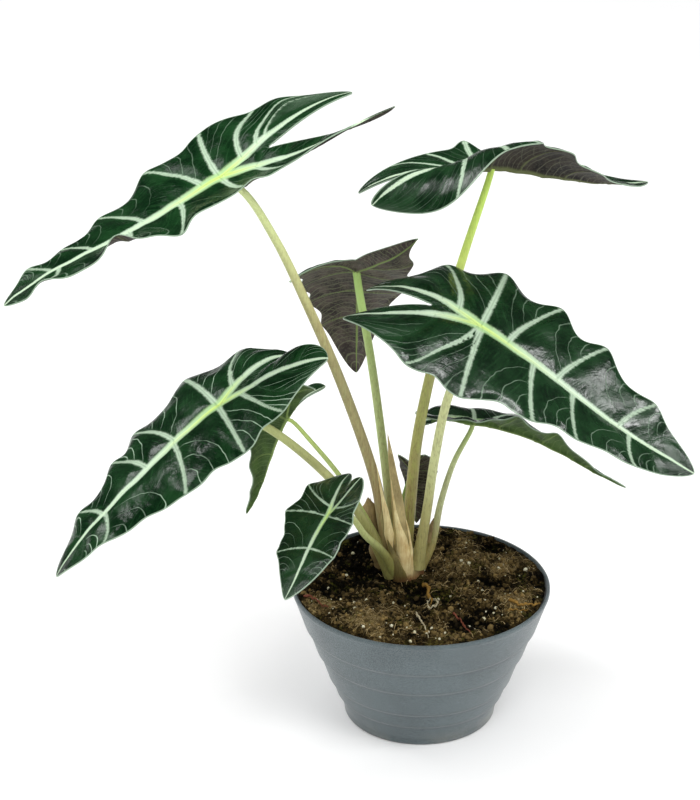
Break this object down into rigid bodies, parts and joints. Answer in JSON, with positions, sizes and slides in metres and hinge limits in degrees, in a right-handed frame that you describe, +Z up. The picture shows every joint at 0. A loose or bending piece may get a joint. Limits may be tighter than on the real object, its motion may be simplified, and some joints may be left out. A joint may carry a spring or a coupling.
{
  "type": "potted alocasia",
  "caption": "Foliage plant with large arrow-shaped, pale-veined leaves on slender stalks, growing from soil in a shallow tapered pot.",
  "frame": {"origin": "centre of the pot's flat foot", "axes": "+Z up; the picture looks along +Y from the -Y side, with +X to its right"},
  "size_m": [0.2965, 0.1624, 0.3053],
  "materials": {
    "pot_plastic": "blue-grey moulded plastic, satin",
    "soil": "dark peat mix, matt, with fibres and white specks",
    "leaf_base": "papery tan and olive leaf bases",
    "petiole": "yellow-green stalk, finely mottled, browner towards its foot",
    "blade": "glossy dark green with pale veins above, purple-brown or olive below"
  },
  "bodies": {
    "root": {"pot": "pot_plastic", "soil": "soil", "crown": "leaf_base", "petiole_upper_left": "petiole", "blade_upper_left": "blade", "petiole_upper_right": "petiole", "blade_upper_right": "blade", "petiole_back": "petiole", "blade_back": "blade", "petiole_right": "petiole", "blade_right": "blade", "petiole_left": "petiole", "blade_left": "blade", "petiole_left_rear": "petiole", "blade_left_rear": "blade", "petiole_lower_right": "petiole", "blade_lower_right": "blade", "petiole_front": "petiole", "blade_front": "blade", "petiole_young": "petiole", "blade_young": "blade"}
  },
  "joints": []
}
